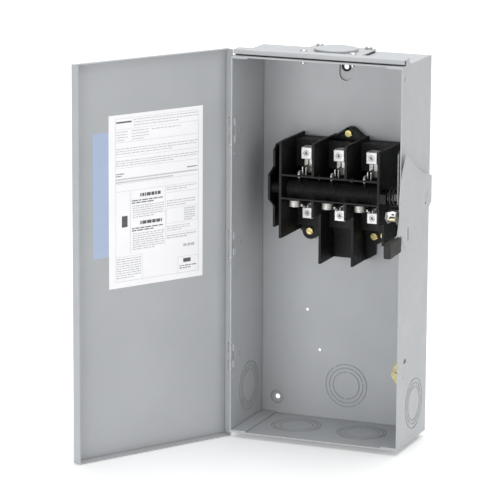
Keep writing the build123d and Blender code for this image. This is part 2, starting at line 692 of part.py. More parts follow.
with BuildPart() as operating_shaft:
    rod_x(RIGHT - 4, plate_in, axis_y, axis_z, SHAFT_R)
    rod_x(RIGHT + 2.1, plate_in, axis_y, axis_z, 10.0)
    block(across(174), RIGHT - 4, axis_y - SQUARE / 2, axis_y + SQUARE / 2,
          axis_z - SQUARE / 2, axis_z + SQUARE / 2)
save(operating_shaft, "operating_shaft")

with BuildPart() as drive_cam:
    with BuildSketch(Plane(origin=(RIGHT - 6, 0, 0), x_dir=(0, 1, 0), z_dir=(1, 0, 0))):
        with BuildLine():
            Polyline((depth(3), height(380)), (depth(13), height(384)), (depth(62), height(332)),
                     (depth(62), height(304)), (depth(50), height(292)),
                     (depth(34), height(292)), (depth(3), height(316)), close=True)
        make_face()
        with Locations((axis_y, axis_z)):
            Rectangle(SQUARE, SQUARE, mode=Mode.SUBTRACT)
        with Locations((depth(22), height(345))):
            Circle(3, mode=Mode.SUBTRACT)
    extrude(amount=2)
save(drive_cam, "drive_cam")

with BuildPart() as shaft_ring:
    rod_x(RIGHT - 7.4, RIGHT - 6, axis_y, axis_z, 9.5)
    rod_x(RIGHT - 8, RIGHT, axis_y, axis_z, SHAFT_R, mode=Mode.SUBTRACT)
    block(RIGHT - 8, RIGHT, axis_y - 20, axis_y, axis_z - 2.5, axis_z + 2.5, mode=Mode.SUBTRACT)
save(shaft_ring, "shaft_ring")

with BuildPart() as operating_spring:
    with BuildLine():
        coil = Helix(SPRING_PITCH, SPRING_PITCH * SPRING_TURNS, SPRING_R,
                     center=(across(SPRING_START), axis_y, axis_z), direction=(1, 0, 0))
    with BuildSketch(Plane(origin=coil @ 0, z_dir=coil % 0)):
        Circle(SPRING_WIRE_R)
    sweep(is_frenet=True)
save(operating_spring, "operating_spring")


with BuildPart() as handle_plate:
    with BuildSketch(Plane(origin=(plate_in, 0, 0), x_dir=(0, 1, 0), z_dir=(1, 0, 0))):
        with BuildLine():
            ThreePointArc(at(0.5, 263), at(AXIS_D - HANDLE_R, AXIS_H), at(4, 380))
            ThreePointArc(at(4, 380), at(36, 360), at(98, 338))
            Polyline(at(98, 338), at(98.5, 304), at(90, 299), at(0.5, 263))
        make_face()
        fillet(vertices().group_by(Axis.X)[-1], 2)
        # Arm that carries the grip, notched behind it.
        with BuildLine():
            Polyline(at(-18, 312), at(-27, 284), at(-60, 277), at(-60, 267), at(-28, 267),
                     at(-19, 283), at(-8, 276), close=True)
        make_face()
        with Locations(at(10, 278.5)):
            SlotOverall(18, 5.5, rotation=90, mode=Mode.SUBTRACT)
        with Locations(at(75.5, 306)):
            Circle(1.6, mode=Mode.SUBTRACT)
    extrude(amount=HANDLE_SHEET)
    with Locations((plate_out + DISH_R - DISH_DEPTH, depth(77), height(318))):
        Sphere(DISH_R, mode=Mode.SUBTRACT)
save(handle_plate, "handle_plate")

with BuildPart() as handle_grip:
    with BuildSketch(Plane(origin=(plate_in - GRIP_INSIDE, depth(GRIP_BACK - GRIP_L / 2),
                                   height(GRIP_LEVEL)), x_dir=(0, 1, 0), z_dir=(1, 0, 0))):
        RectangleRounded(GRIP_L, GRIP_H, 2.5, rotation=GRIP_TILT)
    extrude(amount=GRIP_T)
    fillet(handle_grip.edges().group_by(Axis.X)[0], 1.2)
    fillet(handle_grip.edges().group_by(Axis.X)[-1], 1.2)
    add(handle_plate.part, mode=Mode.SUBTRACT)
save(handle_grip, "handle_grip")

# ======================================================================
# Door interlock and earth bracket
# ======================================================================

with BuildPart() as interlock_lever:
    for cheek_x in (206.0, 218.5):
        with BuildSketch(Plane(origin=(across(cheek_x), 0, 0), x_dir=(0, 1, 0), z_dir=(1, 0, 0))):
            with BuildLine():
                Polyline(at(4, 297), at(7, 304), at(28, 304), at(30, 296), at(24, 288.5),
                         at(14, 288.5), close=True)
            make_face()
            with Locations(at(*PIVOT)):
                Circle(PIVOT_R + RUNNING, mode=Mode.SUBTRACT)
        extrude(amount=LEVER_SHEET)
    block(across(206), across(220), depth(8), depth(27), height(302.5), height(304))
    with BuildSketch(Plane.XZ.offset(-depth(9.5))):
        with BuildLine():
            Polyline((across(206), height(294.5)), (across(206), height(299)),
                     (across(209), height(304)), (across(214), height(306)),
                     (across(220), height(304.5)), (across(220), height(299.2)),
                     (across(211), height(299.2)), (across(209), height(294.5)), close=True)
        make_face()
        with Locations((across(215), height(302.3))):
            Circle(1.8, mode=Mode.SUBTRACT)
    extrude(amount=LEVER_SHEET)
    rod_x(across(205), across(221), depth(ROLLER[0]), height(ROLLER[1]), AXLE_R, mode=Mode.SUBTRACT)
    rod_z(across(213), depth(15), height(300), height(306), 2.4, mode=Mode.SUBTRACT)
save(interlock_lever, "interlock_lever")

with BuildPart() as interlock_roller:
    rod_x(across(208.2), across(217.8), depth(ROLLER[0]), height(ROLLER[1]), ROLLER_R)
    rod_x(across(205.4), across(220.6), depth(ROLLER[0]), height(ROLLER[1]), AXLE_R)
    chamfer(interlock_roller.edges().filter_by(GeomType.CIRCLE).filter_by(
        lambda edge: edge.radius > 3), 0.5)
save(interlock_roller, "interlock_roller")

with BuildPart() as interlock_pin:
    rod_x(across(204.6), RIGHT, depth(PIVOT[0]), height(PIVOT[1]), PIVOT_R)
    rod_x(across(203.2), across(204.6), depth(PIVOT[0]), height(PIVOT[1]), 3.6)
    rod_x(across(221), RIGHT - SHEET, depth(PIVOT[0]), height(PIVOT[1]), 3.6)
    rod_x(RIGHT, RIGHT + 1.2, depth(PIVOT[0]), height(PIVOT[1]), 3.8)
save(interlock_pin, "interlock_pin")

with BuildPart() as interlock_spring:
    with BuildLine():
        small_coil = Helix(SMALL_PITCH, SMALL_PITCH * SMALL_TURNS, SMALL_SPRING_R,
                           center=(across(SMALL_START), depth(PIVOT[0]), height(PIVOT[1])),
                           direction=(1, 0, 0))
    with BuildSketch(Plane(origin=small_coil @ 0, z_dir=small_coil % 0)):
        Circle(SMALL_WIRE_R)
    sweep(is_frenet=True)
save(interlock_spring, "interlock_spring")

with BuildPart() as earth_bracket:
    wall_x = RIGHT - SHEET
    block(wall_x - EARTH_SHEET, wall_x, depth(15), depth(31), height(84), height(117))
    with BuildSketch(Plane.XZ.offset(-depth(15))):
        with BuildLine():
            Polyline((wall_x, height(84)), (wall_x, height(117)), (across(222), height(115)),
                     (across(215.6), height(101.5)), (across(213), height(93.5)),
                     (across(220), height(84)), close=True)
        make_face()
        with Locations(*[(RIGHT - inset, height(level)) for inset, level in EARTH_CLAMPS]):
            Circle(SMALL_SCREW_R, mode=Mode.SUBTRACT)
    extrude(amount=-EARTH_SHEET)
    block(wall_x, RIGHT - 1, depth(20.5), depth(28.5), height(109.5), height(112.5))
    rod_x(RIGHT - 5, RIGHT, depth(EARTH_SCREW[0]), height(EARTH_SCREW[1]), SMALL_SCREW_R,
          mode=Mode.SUBTRACT)
save(earth_bracket, "earth_bracket")

with BuildPart() as earth_screws:
    seat = RIGHT - SHEET - EARTH_SHEET
    rod_x(seat - 3, seat, depth(EARTH_SCREW[0]), height(EARTH_SCREW[1]), 4.2)
    rod_x(seat, RIGHT, depth(EARTH_SCREW[0]), height(EARTH_SCREW[1]), SMALL_SCREW_R)
    for inset, level in EARTH_CLAMPS:
        rod_y(RIGHT - inset, depth(12.5), depth(15), height(level), 3.6)
        rod_y(RIGHT - inset, depth(15), depth(22), height(level), SMALL_SCREW_R)
save(earth_screws, "earth_screws")
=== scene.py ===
import json
import random
from math import cos, radians, sin

import bmesh
import bpy
from mathutils import Matrix, Vector


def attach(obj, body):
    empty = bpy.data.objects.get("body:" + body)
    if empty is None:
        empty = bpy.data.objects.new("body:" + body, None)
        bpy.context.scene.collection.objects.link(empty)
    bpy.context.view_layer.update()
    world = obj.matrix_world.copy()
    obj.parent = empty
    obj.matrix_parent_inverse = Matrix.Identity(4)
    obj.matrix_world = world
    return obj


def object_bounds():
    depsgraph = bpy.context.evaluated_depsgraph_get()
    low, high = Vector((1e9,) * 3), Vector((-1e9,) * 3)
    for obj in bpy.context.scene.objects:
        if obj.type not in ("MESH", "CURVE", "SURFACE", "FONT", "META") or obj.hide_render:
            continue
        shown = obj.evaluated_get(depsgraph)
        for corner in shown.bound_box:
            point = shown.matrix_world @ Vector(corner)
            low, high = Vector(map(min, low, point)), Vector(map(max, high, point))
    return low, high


# Looks for a wall-mounted safety switch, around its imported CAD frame. Metres, +Z up,
# -Y out of the wall, origin at the top hanging hole.

MM = 0.001

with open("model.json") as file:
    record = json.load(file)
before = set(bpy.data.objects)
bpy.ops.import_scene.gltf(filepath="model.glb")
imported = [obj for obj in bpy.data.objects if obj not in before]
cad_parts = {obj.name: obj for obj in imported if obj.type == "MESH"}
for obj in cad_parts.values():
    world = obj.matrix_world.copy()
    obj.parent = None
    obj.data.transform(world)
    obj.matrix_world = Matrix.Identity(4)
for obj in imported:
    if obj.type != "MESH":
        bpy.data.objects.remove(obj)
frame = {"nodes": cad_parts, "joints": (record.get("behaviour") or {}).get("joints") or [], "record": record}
cad_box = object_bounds()

# ---- camera ----
CAMERA_AT = (1.372, -3.719, 0.6214)
AZIMUTH = 22.02
PITCH = 12.27
ROLL = 0.34
LENS = 226.3
SENSOR = 36.0

# ---- studio ----
FLOOR_SIZE = 14.0
FLOOR_GAP = 0.5 * MM
FLOOR_GLOW = 0.16
WORLD_STRENGTH = 0.47

WORLD_COLOUR = (0.97, 0.985, 1.0, 1.0)
VIEW_DEPTH = 60.0
PART_LIGHTS = (
    # name, place, size, watts, colour
    ("overhead", (0.2, 0.1, 2.4), (2.6, 1.8), 54.0, (1.0, 1.0, 1.0)),
    ("right_bank", (2.7, -1.9, 0.7), (2.0, 2.4), 15.5, (1.0, 0.965, 0.94)),
    ("front_fill", (-0.9, -3.4, 0.02), (2.4, 0.8), 36.0, (1.0, 1.0, 1.0)),
)
WASH_AT = (-1.4, 4.6, 2.2)
WASH_SIZE = (5.0, 4.0)
WASH_POWER = 120.0

# ---- finishes ----
NOISE_ROUGHNESS = 0.55
BEVEL_SAMPLES = 6
CREVICE_SAMPLES = 8
# The outside of the left wall, and where painted light seen through the wall's slots starts and is full
# behind it.
WALL_OUTSIDE_X = -114.0 * MM
SLOT_LIGHT_FROM = WALL_OUTSIDE_X - 0.5 * MM
SLOT_LIGHT_AT = WALL_OUTSIDE_X - 0.2 * MM
# Distance from the drum's axis where the soot on a blade ends.
SOOT_FROM = 23.0 * MM
SOOT_TO = 25.0 * MM
SOOT_RAGGED = 3.0 * MM

# ---- labels ----
BAR_RISE = 0.06 * MM
# Share of the label's height.
RULE_T = 0.0014
SEED = 7


# ======================================================================
# Node helpers
# ======================================================================

class Shader:
    """A principled material with short calls for the nodes that these finishes share."""

    def __init__(self, name, colour, roughness, metallic=0.0, specular=0.5):
        self.material = bpy.data.materials.new(name)
        self.material.use_nodes = True
        self.tree = self.material.node_tree
        self.bsdf = self.tree.nodes["Principled BSDF"]
        self.bsdf.inputs["Base Color"].default_value = (*colour, 1.0)
        self.bsdf.inputs["Roughness"].default_value = roughness
        self.bsdf.inputs["Metallic"].default_value = metallic
        self.bsdf.inputs["Specular IOR Level"].default_value = specular
        self.place = self.add("ShaderNodeTexCoord").outputs["Object"]

    def add(self, kind, **values):
        node = self.tree.nodes.new(kind)
        for key, value in values.items():
            setattr(node, key, value)
        return node

    def link(self, source, target):
        self.tree.links.new(source, target)

    def stretched(self, scale):
        """The object's own metres, scaled along each axis."""
        mapping = self.add("ShaderNodeMapping")
        mapping.inputs["Scale"].default_value = scale
        self.link(self.place, mapping.inputs["Vector"])
        return mapping.outputs["Vector"]

    def noise(self, feature, detail, vector=None):
        """Noise whose blobs are about `feature` metres across."""
        node = self.add("ShaderNodeTexNoise")
        node.inputs["Scale"].default_value = 1.0 / feature
        node.inputs["Detail"].default_value = detail
        node.inputs["Roughness"].default_value = NOISE_ROUGHNESS
        self.link(vector or self.place, node.inputs["Vector"])
        return node.outputs["Fac"]

    def ramp(self, value, low, high, bottom=0.0, top=1.0):
        """Maps low..high onto bottom..top, clamped."""
        node = self.add("ShaderNodeMapRange")
        node.inputs["From Min"].default_value = low
        node.inputs["From Max"].default_value = high
        node.inputs["To Min"].default_value = bottom
        node.inputs["To Max"].default_value = top
        self.link(value, node.inputs["Value"])
        return node.outputs["Result"]

    def maths(self, operation, first, second):
        node = self.add("ShaderNodeMath", operation=operation)
        for index, value in enumerate((first, second)):
            if isinstance(value, (int, float)):
                node.inputs[index].default_value = value
            else:
                self.link(value, node.inputs[index])
        return node.outputs["Value"]

    def blend(self, amount, first, second):
        """Mixes two colours, each a socket or three numbers."""
        node = self.add("ShaderNodeMix", data_type="RGBA", blend_type="MIX")
        self.link(amount, node.inputs["Factor"])
        for socket, value in ((node.inputs["A"], first), (node.inputs["B"], second)):
            if isinstance(value, tuple):
                socket.default_value = (*value, 1.0)
            else:
                self.link(value, socket)
        return node.outputs["Result"]

    def edges(self, radius):
        """1 along sharp edges, fading to 0 over `radius` metres."""
        bevel = self.add("ShaderNodeBevel", samples=BEVEL_SAMPLES)
        bevel.inputs["Radius"].default_value = radius
        true_normal = self.add("ShaderNodeNewGeometry").outputs["Normal"]
        dot = self.add("ShaderNodeVectorMath", operation="DOT_PRODUCT")
        self.link(bevel.outputs["Normal"], dot.inputs[0])
        self.link(true_normal, dot.inputs[1])
        return self.ramp(dot.outputs["Value"], 0.999, 0.80)

    def crevice_shade(self, reach):
        """Mask for painted shade: 1 deep in grooves and inner corners narrower than `reach` metres, else 0.
        """
        shade = self.add("ShaderNodeAmbientOcclusion", samples=CREVICE_SAMPLES)
        shade.inputs["Distance"].default_value = reach
        return self.ramp(shade.outputs["AO"], 0.92, 0.45)

    def radius_about(self, y, z):
        """Distance in metres from a line along X."""
        split = self.add("ShaderNodeSeparateXYZ")
        self.link(self.place, split.inputs["Vector"])
        across = self.maths("SUBTRACT", split.outputs["Y"], y)
        up = self.maths("SUBTRACT", split.outputs["Z"], z)
        squares = self.maths("ADD", self.maths("POWER", across, 2.0),
                             self.maths("POWER", up, 2.0))
        return self.maths("SQRT", squares, 0.0)

    def bump(self, height, depth, strength, soften=0.0):
        """Bump of `depth` metres, over edges rounded by `soften` metres."""
        node = self.add("ShaderNodeBump")
        node.inputs["Distance"].default_value = depth
        node.inputs["Strength"].default_value = strength
        self.link(height, node.inputs["Height"])
        if soften:
            bevel = self.add("ShaderNodeBevel", samples=BEVEL_SAMPLES)
            bevel.inputs["Radius"].default_value = soften
            self.link(bevel.outputs["Normal"], node.inputs["Normal"])
        self.link(node.outputs["Normal"], self.bsdf.inputs["Normal"])

    def paint_with(self, colour):
        self.link(colour, self.bsdf.inputs["Base Color"])

    def rough_with(self, value):
        self.link(value, self.bsdf.inputs["Roughness"])


def tinted(colour, factor):
    return tuple(min(1.0, channel * factor) for channel in colour)


# ======================================================================
# Finishes
# ======================================================================

def enamel(name, colour, gloss=0.42):
    """Baked enamel on sheet steel: orange peel, faint clouding, dust specks, edges lightened as part rubbed
    wear and part painted highlight, and painted shade in grooves and inner corners.
    """
    s = Shader(name, colour, gloss)
    s.bsdf.inputs["Coat Weight"].default_value = 0.12
    s.bsdf.inputs["Coat Roughness"].default_value = 0.25
    clouds = s.ramp(s.noise(90 * MM, 3), 0.35, 0.65)
    base = s.blend(clouds, tinted(colour, 0.972), tinted(colour, 1.022))
    specks = s.ramp(s.noise(1.1 * MM, 1), 0.735, 0.77)
    base = s.blend(s.maths("MULTIPLY", specks, 0.35), base, tinted(colour, 0.72))
    # Lightens edges in patches: partly rubbed wear, partly painted highlight.
    wear_and_edge_highlight = s.maths("MULTIPLY", s.edges(0.9 * MM), s.ramp(s.noise(7 * MM, 5), 0.42, 0.66))
    base = s.blend(s.maths("MULTIPLY", wear_and_edge_highlight, 0.45), base, tinted(colour, 1.28))
    # Painted shade: darkens the enamel in grooves and inner corners where shade falls.
    base = s.blend(s.maths("MULTIPLY", s.crevice_shade(2.4 * MM), 0.48), base, tinted(colour, 0.36))
    s.paint_with(base)
    s.rough_with(s.ramp(s.noise(16 * MM, 5), 0.3, 0.7, gloss - 0.05, gloss + 0.08))
    s.bump(s.noise(1.5 * MM, 2), 0.035 * MM, 0.55, soften=0.4 * MM)
    return s.material


def plated_steel(name, colour, roughness=0.34, warm=None):
    """Zinc plate: fine drawn lines, soft spangle, and passivate that varies in tint."""
    s = Shader(name, colour, roughness, metallic=0.92)
    lines = s.noise(1.0, 3, vector=s.stretched((2200.0, 260.0, 2200.0)))
    spangle = s.ramp(s.noise(5 * MM, 3), 0.35, 0.65)
    base = s.blend(spangle, tinted(colour, 0.84), warm or tinted(colour, 1.10))
    grime = s.maths("MULTIPLY", s.ramp(s.noise(11 * MM, 6), 0.56, 0.74), 0.4)
    s.paint_with(s.blend(grime, base, tinted(colour, 0.5)))
    s.rough_with(s.ramp(lines, 0.3, 0.7, roughness - 0.08, roughness + 0.12))
    s.bump(lines, 0.02 * MM, 0.4, soften=0.25 * MM)
    return s.material


def hinge_plate(name, colour, slot_light):
    """Enamelled with the box, with painted light on the face that lies against the wall, for light seen
    through the wall's slots.
    """
    s = Shader(name, colour, 0.48)
    split = s.add("ShaderNodeSeparateXYZ")
    s.link(s.place, split.inputs["Vector"])
    # Painted light: near-white plate behind the wall's slots, where light shows through them.
    slot_light_mask = s.ramp(split.outputs["X"], SLOT_LIGHT_FROM, SLOT_LIGHT_AT)
    speckle = s.blend(s.ramp(s.noise(4 * MM, 3), 0.35, 0.65), tinted(colour, 0.96), colour)
    s.paint_with(s.blend(slot_light_mask, speckle, slot_light))
    s.bump(s.noise(1.5 * MM, 2), 0.03 * MM, 0.5, soften=0.3 * MM)
    return s.material


def phenolic(name, colour, roughness, specular):
    """Black thermoset moulding: flow haze, pitted skin, edges greyed as part wear and part painted
    highlight, and settled dust.
    """
    s = Shader(name, colour, roughness, specular=specular)
    haze = s.ramp(s.noise(14 * MM, 5), 0.35, 0.7)
    base = s.blend(haze, tinted(colour, 0.75), tinted(colour, 1.5))
    # Greys edges in patches: partly wear, partly painted highlight.
    edge_wear_and_highlight = s.maths("MULTIPLY", s.edges(0.6 * MM), s.ramp(s.noise(3 * MM, 4), 0.35, 0.6))
    base = s.blend(s.maths("MULTIPLY", edge_wear_and_highlight, 0.35), base, (0.13, 0.13, 0.125))
    dust = s.maths("MULTIPLY", s.ramp(s.noise(0.7 * MM, 1), 0.70, 0.76), 0.25)
    s.paint_with(s.blend(dust, base, (0.20, 0.20, 0.19)))
    s.rough_with(s.ramp(s.noise(5 * MM, 4), 0.3, 0.7, roughness - 0.07, roughness + 0.12))
    s.bump(s.noise(0.5 * MM, 3), 0.02 * MM, 0.5, soften=0.45 * MM)
    return s.material


def tinned_aluminium(name, colour, roughness=0.42):
    """Sawn and tin-plated lug: saw lines across, soft burnish, darker pores."""
    s = Shader(name, colour, roughness, metallic=0.55)
    saw = s.noise(1.0, 2, vector=s.stretched((150.0, 150.0, 3600.0)))
    burnish = s.ramp(s.noise(3.5 * MM, 3), 0.35, 0.65)
    base = s.blend(burnish, tinted(colour, 0.90), tinted(colour, 1.06))
    pores = s.maths("MULTIPLY", s.ramp(s.noise(0.6 * MM, 2), 0.66, 0.74), 0.5)
    base = s.blend(pores, base, tinted(colour, 0.55))
    # Painted shade: darkens the lug in grooves and inner corners where shade falls.
    s.paint_with(s.blend(s.crevice_shade(1.6 * MM), base, tinted(colour, 0.16)))
    s.rough_with(s.ramp(saw, 0.3, 0.7, roughness - 0.08, roughness + 0.14))
    s.bump(saw, 0.03 * MM, 0.45, soften=0.35 * MM)
    return s.material


def bright_metal(name, colour, roughness, stain):
    """Turned brass or silver plate: fine turning marks and a mottled tarnish."""
    s = Shader(name, colour, roughness, metallic=1.0)
    tarnish = s.ramp(s.noise(2.6 * MM, 5), 0.46, 0.70)
    s.paint_with(s.blend(s.maths("MULTIPLY", tarnish, 0.5), colour, stain))
    marks = s.noise(0.35 * MM, 3)
    s.rough_with(s.ramp(tarnish, 0.0, 1.0, roughness, roughness + 0.22))
    s.bump(marks, 0.012 * MM, 0.4, soften=0.25 * MM)
    return s.material


def sooted_blade(name, colour):
    """Silver-plated blade, black with arc soot towards the drum and bright at the tips."""
    s = Shader(name, colour, 0.34, metallic=0.85)
    drum = next(j for j in frame["joints"] if j["name"] == "rotor_turn")["pos_m"]
    ragged = s.maths("MULTIPLY", s.noise(1.6 * MM, 4), SOOT_RAGGED)
    reach = s.maths("ADD", s.radius_about(drum[1], drum[2]), ragged)
    clean = s.ramp(reach, SOOT_FROM, SOOT_TO)
    tarnish = s.ramp(s.noise(2.4 * MM, 5), 0.45, 0.7)
    bright = s.blend(s.maths("MULTIPLY", tarnish, 0.5), colour, (0.30, 0.27, 0.23))
    s.paint_with(s.blend(clean, (0.012, 0.012, 0.012), bright))
    s.rough_with(s.ramp(clean, 0.0, 1.0, 0.7, 0.34))
    s.bump(s.noise(0.35 * MM, 3), 0.012 * MM, 0.4, soften=0.25 * MM)
    return s.material


def rubber(name, colour):
    """Black rubber with a faint grey bloom."""
    s = Shader(name, colour, 0.72, specular=0.3)
    bloom = s.ramp(s.noise(4 * MM, 5), 0.42, 0.68)
    s.paint_with(s.blend(bloom, colour, tinted(colour, 1.9)))
    s.rough_with(s.ramp(s.noise(1.5 * MM, 3), 0.3, 0.7, 0.64, 0.82))
    s.bump(s.noise(0.4 * MM, 3), 0.03 * MM, 0.5, soften=0.3 * MM)
    return s.material


def label_film(name, colour, roughness=0.36):
    """Printed film: paper-like tone drift, faint trapped bubbles and a satin overlaminate."""
    s = Shader(name, colour, roughness)
    s.bsdf.inputs["Coat Weight"].default_value = 0.2
    s.bsdf.inputs["Coat Roughness"].default_value = 0.18
    drift = s.ramp(s.noise(40 * MM, 3), 0.35, 0.65)
    base = s.blend(drift, tinted(colour, 0.975), tinted(colour, 1.015))
    fleck = s.maths("MULTIPLY", s.ramp(s.noise(0.5 * MM, 1), 0.72, 0.76), 0.18)
    s.paint_with(s.blend(fleck, base, tinted(colour, 0.7)))
    s.rough_with(s.ramp(s.noise(9 * MM, 4), 0.3, 0.7, roughness - 0.05, roughness + 0.08))
    bubbles = s.ramp(s.noise(6 * MM, 2), 0.62, 0.72)
    s.bump(bubbles, 0.05 * MM, 0.5)
    return s.material


def print_ink(name, colour):
    """Printed ink, a little patchy."""
    s = Shader(name, colour, 0.4)
    patchy = s.ramp(s.noise(0.8 * MM, 3), 0.35, 0.7)
    s.paint_with(s.blend(patchy, colour, tinted(colour, 1.45)))
    s.rough_with(s.ramp(s.noise(3 * MM, 2), 0.3, 0.7, 0.36, 0.5))
    return s.material


def studio_floor(name):
    """Pale matt floor with a faint glow, so that it reads as white."""
    s = Shader(name, (0.93, 0.93, 0.93), 0.8, specular=0.2)
    s.bsdf.inputs["Emission Color"].default_value = (1.0, 1.0, 1.0, 1.0)
    s.bsdf.inputs["Emission Strength"].default_value = FLOOR_GLOW
    s.paint_with(s.blend(s.noise(0.4, 3), (0.925, 0.925, 0.925), (0.94, 0.94, 0.94)))
    return s.material


GREY = (0.440, 0.454, 0.467)
FINISHES = {
    "grey_enamel": lambda n: enamel(n, GREY),
    "handle_enamel": lambda n: enamel(n, tinted(GREY, 0.98), 0.4),
    "zinc_steel": lambda n: plated_steel(n, (0.62, 0.62, 0.61)),
    # The near-white is painted light behind the wall's slots.
    "hinge_zinc": lambda n: hinge_plate(n, GREY, (0.94, 0.94, 0.93)),
    "cam_steel": lambda n: plated_steel(n, (0.16, 0.16, 0.165), 0.42),
    "bracket_yellow_zinc": lambda n: plated_steel(n, (0.42, 0.40, 0.24), 0.4, (0.50, 0.45, 0.20)),
    "pin_yellow_zinc": lambda n: plated_steel(n, (0.66, 0.58, 0.36), 0.32, (0.70, 0.66, 0.42)),
    "spring_steel": lambda n: plated_steel(n, (0.10, 0.10, 0.11), 0.3),
    "switch_phenolic": lambda n: phenolic(n, (0.0054, 0.0054, 0.0052), 0.46, 0.26),
    # Darker than the switch phenolic: painted shade for the drum, which sits in shadow.
    "rotor_phenolic": lambda n: phenolic(n, (0.0032, 0.0032, 0.0031), 0.60, 0.20),
    "silvered_copper": lambda n: bright_metal(n, (0.46, 0.45, 0.43), 0.36, (0.24, 0.22, 0.195)),
    "blade_copper": lambda n: sooted_blade(n, (0.62, 0.605, 0.58)),
    "lug_aluminium": lambda n: tinned_aluminium(n, (0.80, 0.80, 0.79)),
    "lug_screw_steel": lambda n: tinned_aluminium(n, (0.62, 0.62, 0.61), 0.36),
    "brass": lambda n: bright_metal(n, (0.66, 0.57, 0.26), 0.26, (0.26, 0.21, 0.10)),
    "grip_plastic": lambda n: phenolic(n, (0.017, 0.017, 0.0150), 0.55, 0.28),
    "gasket_rubber": lambda n: rubber(n, (0.02, 0.02, 0.02)),
    "label_white": lambda n: label_film(n, (0.97, 0.968, 0.985)),
    "label_blue": lambda n: label_film(n, (0.42, 0.51, 0.67), 0.4),
}


def dress_cad_nodes():
    """Gives every CAD node the finish of its slot in the record."""
    made = {slot: build(slot) for slot, build in FINISHES.items()}
    for part in frame["record"]["subparts"]:
        materials = frame["nodes"][part["node"]].data.materials
        materials.clear()
        materials.append(made[part["material_slot"]])


# ======================================================================
# Mesh helpers
# ======================================================================

def mesh_piece(name, work, material, body):
    """Turns a bmesh into a piece that rides on a body."""
    mesh = bpy.data.meshes.new(name)
    bmesh.ops.recalc_face_normals(work, faces=work.faces)
    work.to_mesh(mesh)
    work.free()
    piece = bpy.data.objects.new(name, mesh)
    bpy.context.scene.collection.objects.link(piece)
    mesh.materials.append(material)
    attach(piece, body)
    return piece


def add_box(work, low, high, place):
    """Adds a closed box between two corners, through `place`."""
    middle = (Vector(low) + Vector(high)) / 2
    size = Vector(high) - Vector(low)
    spread = place @ Matrix.Translation(middle) @ Matrix.Diagonal((*size, 1.0))
    bmesh.ops.create_cube(work, size=1.0, matrix=spread)


# ======================================================================
# Door labels: rows of plain bars where print would be
# ======================================================================

def door_place():
    """The door panel's own frame: +X from the hinge to the free edge, +Y off the inside."""
    hinge = next(j for j in frame["joints"] if j["name"] == "door_hinge")
    x, y, _ = hinge["pos_m"]
    turn = -radians(hinge["range_deg"][1])
    return Matrix.Translation((x, y, 0)) @ Matrix.Rotation(turn, 4, "Z")


def local_box(node, place):
    """Lowest and highest corner of a CAD node in another frame."""
    inverse = place.inverted()
    points = [inverse @ v.co for v in frame["nodes"][node].data.vertices]
    low = Vector([min(p[i] for p in points) for i in range(3)])
    high = Vector([max(p[i] for p in points) for i in range(3)])
    return low, high


def bar_adder(work, node):
    """Gives add(left, right, low, high), which lays a bar on a label, in shares of its size.

    A label reads from the free edge to the hinge, so left to right runs backwards along +X.
    """
    place = door_place()
    low, high = local_box(node, place)
    width = high.x - low.x
    tall = high.z - low.z

    def add(left, right, bottom, top):
        add_box(work, (high.x - right * width, high.y, low.z + bottom * tall),
                (high.x - left * width, high.y + BAR_RISE, low.z + top * tall), place)

    return add


def text_rows(draw, add, span, top, rows, pitch, tall=0.0042, word=0.035):
    """Rows of word-length dashes; the last row of a paragraph stops short."""
    left, right = span
    for row in range(rows):
        level = top - pitch * row
        stop = right - (0.3 * (right - left) if row == rows - 1 and rows > 1 else 0.0)
        x = left
        while x < stop - 0.3 * word:
            length = min(draw.uniform(0.35, 1.4) * word, stop - x)
            add(x, x + length, level - tall, level)
            x += length + 0.2 * word


def outline(add, left, right, low, high):
    """Thin rule around a box on the label."""
    add(left, right, high - RULE_T, high)
    add(left, right, low, low + RULE_T)
    add(left, left + 2 * RULE_T, low, high)
    add(right - 2 * RULE_T, right, low, high)


